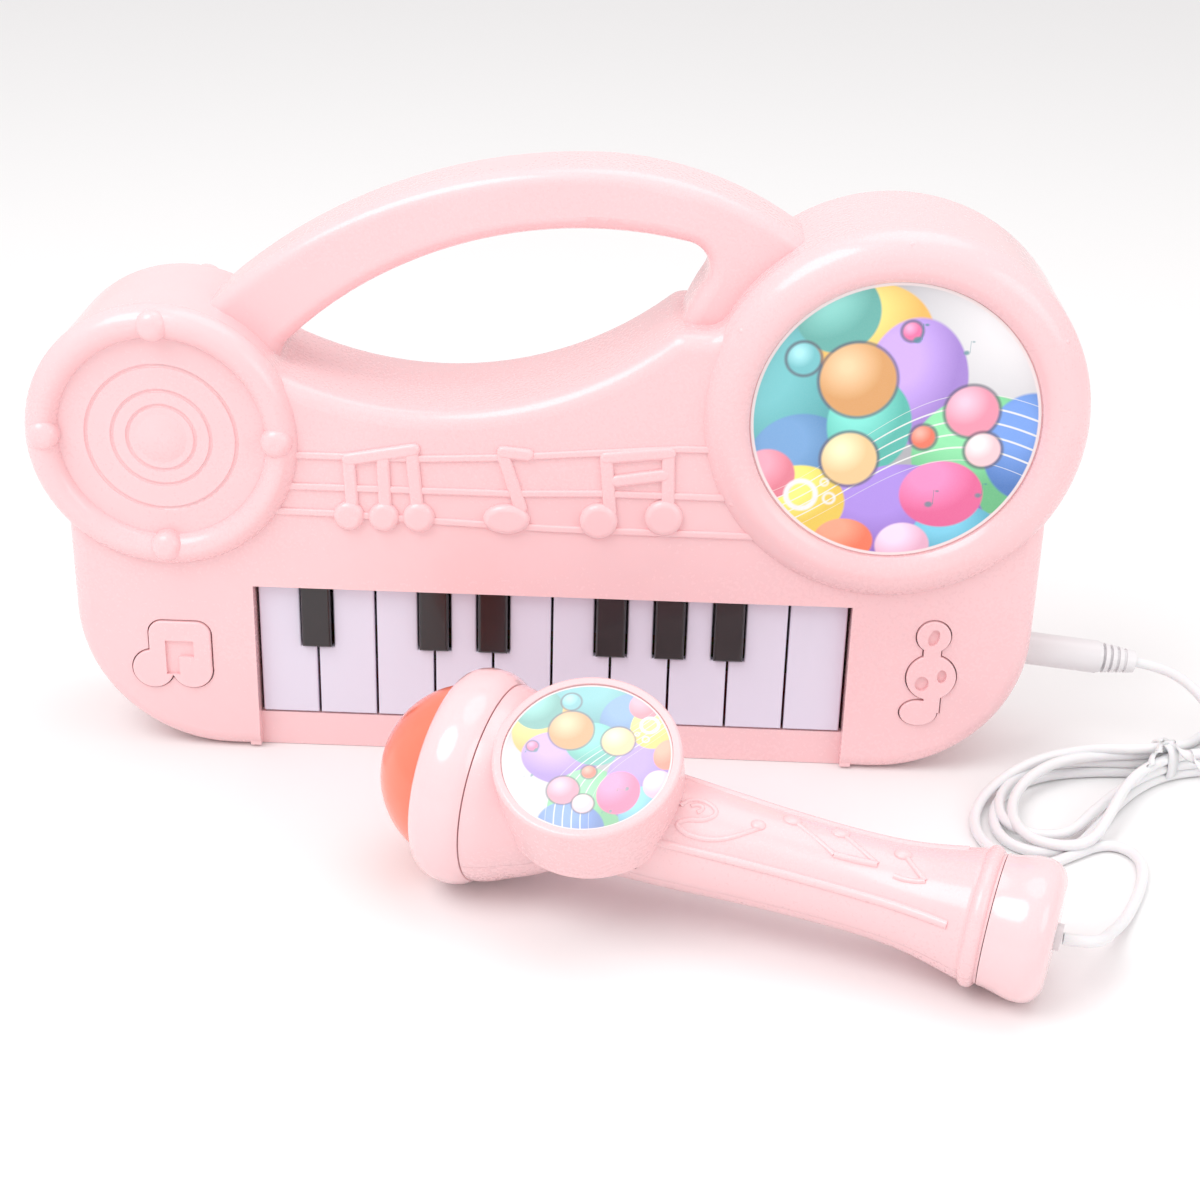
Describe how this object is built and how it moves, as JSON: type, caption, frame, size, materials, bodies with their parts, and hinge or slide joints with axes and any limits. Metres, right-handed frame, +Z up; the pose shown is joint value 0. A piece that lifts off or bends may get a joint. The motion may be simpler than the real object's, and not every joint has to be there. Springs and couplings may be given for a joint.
{
  "type": "toy electronic keyboard",
  "caption": "Upright pink toy keyboard with carrying handle, drum-shaped lobe, round picture bezel, hinged piano keys, and a corded toy microphone.",
  "frame": {"origin": "centre of the flat lower edge that the keyboard stands on", "axes": "+X to the right seen from the keys, +Y from the keys to the back, +Z up"},
  "size_m": [0.3717, 0.1663, 0.1683],
  "materials": {
    "pink_shell": "smooth injection-moulded ABS, soft gloss",
    "white_key": "smooth moulded plastic, faint lavender white",
    "black_key": "smooth moulded plastic, near black",
    "steel": "zinc-plated steel",
    "nickel": "nickel plated",
    "circuit_board": "phenolic board with printed tracks",
    "black_plastic": "moulded black plastic",
    "grey_rubber": "soft silicone rubber",
    "cell_jacket": "plain cell jacket with no print",
    "speaker_frame": "pressed steel, black paint",
    "speaker_paper": "pressed paper cone",
    "lead_insulation": "thin wire insulation",
    "printed_label": "glossy printed sticker with abstract art",
    "coral_dome": "smooth coral plastic, slightly translucent",
    "white_cord": "white PVC cord"
  },
  "bodies": {
    "root": {"front_shell": "pink_shell", "rear_shell": "pink_shell", "key_pivot_rod": "steel", "case_screws": "steel", "board_screws": "steel", "speaker_magnet": "steel", "battery_contacts": "nickel", "plug_pin": "nickel", "key_contact_board": "circuit_board", "main_board": "circuit_board", "board_components": "black_plastic", "power_switch_body": "black_plastic", "jack_socket": "black_plastic", "key_rubber_strip": "grey_rubber", "button_rubber_pads": "grey_rubber", "batteries": "cell_jacket", "speaker_basket": "speaker_frame", "speaker_cone": "speaker_paper", "battery_leads": "lead_insulation", "speaker_leads": "lead_insulation", "jack_leads": "lead_insulation", "key_ribbon": "lead_insulation", "picture_label": "printed_label", "cord_plug": "white_cord", "cord_lead_jack": "white_cord", "cord_lead_mic": "white_cord", "cord_hank": "white_cord", "hank_tie": "white_cord"},
    "white_key_1": {"white_key_1": "white_key"},
    "white_key_2": {"white_key_2": "white_key"},
    "white_key_3": {"white_key_3": "white_key"},
    "white_key_4": {"white_key_4": "white_key"},
    "white_key_5": {"white_key_5": "white_key"},
    "white_key_6": {"white_key_6": "white_key"},
    "white_key_7": {"white_key_7": "white_key"},
    "white_key_8": {"white_key_8": "white_key"},
    "white_key_9": {"white_key_9": "white_key"},
    "white_key_10": {"white_key_10": "white_key"},
    "black_key_1": {"black_key_1": "black_key"},
    "black_key_2": {"black_key_2": "black_key"},
    "black_key_3": {"black_key_3": "black_key"},
    "black_key_4": {"black_key_4": "black_key"},
    "black_key_5": {"black_key_5": "black_key"},
    "black_key_6": {"black_key_6": "black_key"},
    "note_button": {"note_button": "pink_shell"},
    "clef_button": {"clef_button": "pink_shell"},
    "power_slider": {"power_slider": "black_plastic"},
    "battery_door": {"battery_door": "pink_shell", "battery_door_screw": "steel"},
    "microphone": {"mic_front_shell": "pink_shell", "mic_rear_shell": "pink_shell", "mic_collar": "pink_shell", "mic_dome": "coral_dome", "mic_label": "printed_label", "mic_end_cap": "pink_shell", "mic_grommet": "white_cord", "mic_capsule": "nickel", "mic_board": "circuit_board", "mic_screws": "steel"}
  },
  "joints": [
    {"name": "white_key_1_press", "type": "hinge", "parent": "root", "child": "white_key_1", "pos_m": [0, -0.015, 0.066], "axis": [1, 0, 0], "range_deg": [0, 3.5], "stiffness_Nm_per_rad": 0.3, "springref_deg": -2.86},
    {"name": "white_key_2_press", "type": "hinge", "parent": "root", "child": "white_key_2", "pos_m": [0, -0.015, 0.066], "axis": [1, 0, 0], "range_deg": [0, 3.5], "stiffness_Nm_per_rad": 0.3, "springref_deg": -2.86},
    {"name": "white_key_3_press", "type": "hinge", "parent": "root", "child": "white_key_3", "pos_m": [0, -0.015, 0.066], "axis": [1, 0, 0], "range_deg": [0, 3.5], "stiffness_Nm_per_rad": 0.3, "springref_deg": -2.86},
    {"name": "white_key_4_press", "type": "hinge", "parent": "root", "child": "white_key_4", "pos_m": [0, -0.015, 0.066], "axis": [1, 0, 0], "range_deg": [0, 3.5], "stiffness_Nm_per_rad": 0.3, "springref_deg": -2.86},
    {"name": "white_key_5_press", "type": "hinge", "parent": "root", "child": "white_key_5", "pos_m": [0, -0.015, 0.066], "axis": [1, 0, 0], "range_deg": [0, 3.5], "stiffness_Nm_per_rad": 0.3, "springref_deg": -2.86},
    {"name": "white_key_6_press", "type": "hinge", "parent": "root", "child": "white_key_6", "pos_m": [0, -0.015, 0.066], "axis": [1, 0, 0], "range_deg": [0, 3.5], "stiffness_Nm_per_rad": 0.3, "springref_deg": -2.86},
    {"name": "white_key_7_press", "type": "hinge", "parent": "root", "child": "white_key_7", "pos_m": [0, -0.015, 0.066], "axis": [1, 0, 0], "range_deg": [0, 3.5], "stiffness_Nm_per_rad": 0.3, "springref_deg": -2.86},
    {"name": "white_key_8_press", "type": "hinge", "parent": "root", "child": "white_key_8", "pos_m": [0, -0.015, 0.066], "axis": [1, 0, 0], "range_deg": [0, 3.5], "stiffness_Nm_per_rad": 0.3, "springref_deg": -2.86},
    {"name": "white_key_9_press", "type": "hinge", "parent": "root", "child": "white_key_9", "pos_m": [0, -0.015, 0.066], "axis": [1, 0, 0], "range_deg": [0, 3.5], "stiffness_Nm_per_rad": 0.3, "springref_deg": -2.86},
    {"name": "white_key_10_press", "type": "hinge", "parent": "root", "child": "white_key_10", "pos_m": [0, -0.015, 0.066], "axis": [1, 0, 0], "range_deg": [0, 3.5], "stiffness_Nm_per_rad": 0.3, "springref_deg": -2.86},
    {"name": "black_key_1_press", "type": "hinge", "parent": "root", "child": "black_key_1", "pos_m": [0, -0.015, 0.066], "axis": [1, 0, 0], "range_deg": [0, 3.5], "stiffness_Nm_per_rad": 0.3, "springref_deg": -2.86},
    {"name": "black_key_2_press", "type": "hinge", "parent": "root", "child": "black_key_2", "pos_m": [0, -0.015, 0.066], "axis": [1, 0, 0], "range_deg": [0, 3.5], "stiffness_Nm_per_rad": 0.3, "springref_deg": -2.86},
    {"name": "black_key_3_press", "type": "hinge", "parent": "root", "child": "black_key_3", "pos_m": [0, -0.015, 0.066], "axis": [1, 0, 0], "range_deg": [0, 3.5], "stiffness_Nm_per_rad": 0.3, "springref_deg": -2.86},
    {"name": "black_key_4_press", "type": "hinge", "parent": "root", "child": "black_key_4", "pos_m": [0, -0.015, 0.066], "axis": [1, 0, 0], "range_deg": [0, 3.5], "stiffness_Nm_per_rad": 0.3, "springref_deg": -2.86},
    {"name": "black_key_5_press", "type": "hinge", "parent": "root", "child": "black_key_5", "pos_m": [0, -0.015, 0.066], "axis": [1, 0, 0], "range_deg": [0, 3.5], "stiffness_Nm_per_rad": 0.3, "springref_deg": -2.86},
    {"name": "black_key_6_press", "type": "hinge", "parent": "root", "child": "black_key_6", "pos_m": [0, -0.015, 0.066], "axis": [1, 0, 0], "range_deg": [0, 3.5], "stiffness_Nm_per_rad": 0.3, "springref_deg": -2.86},
    {"name": "note_button_press", "type": "slide", "parent": "root", "child": "note_button", "axis": [0, 1, 0], "range_m": [0, 0.0018], "stiffness_N_per_m": 300, "springref_m": -0.001},
    {"name": "clef_button_press", "type": "slide", "parent": "root", "child": "clef_button", "axis": [0, 1, 0], "range_m": [0, 0.0018], "stiffness_N_per_m": 300, "springref_m": -0.001},
    {"name": "power_slide", "type": "slide", "parent": "root", "child": "power_slider", "axis": [1, 0, 0], "range_m": [0, 0.006]},
    {"name": "battery_door_off", "type": "slide", "parent": "root", "child": "battery_door", "axis": [0, 1, 0], "range_m": [0, 0.03]},
    {"name": "microphone_lift", "type": "slide", "parent": "root", "child": "microphone", "axis": [0, 0, 1], "range_m": [0, 0.04]}
  ]
}
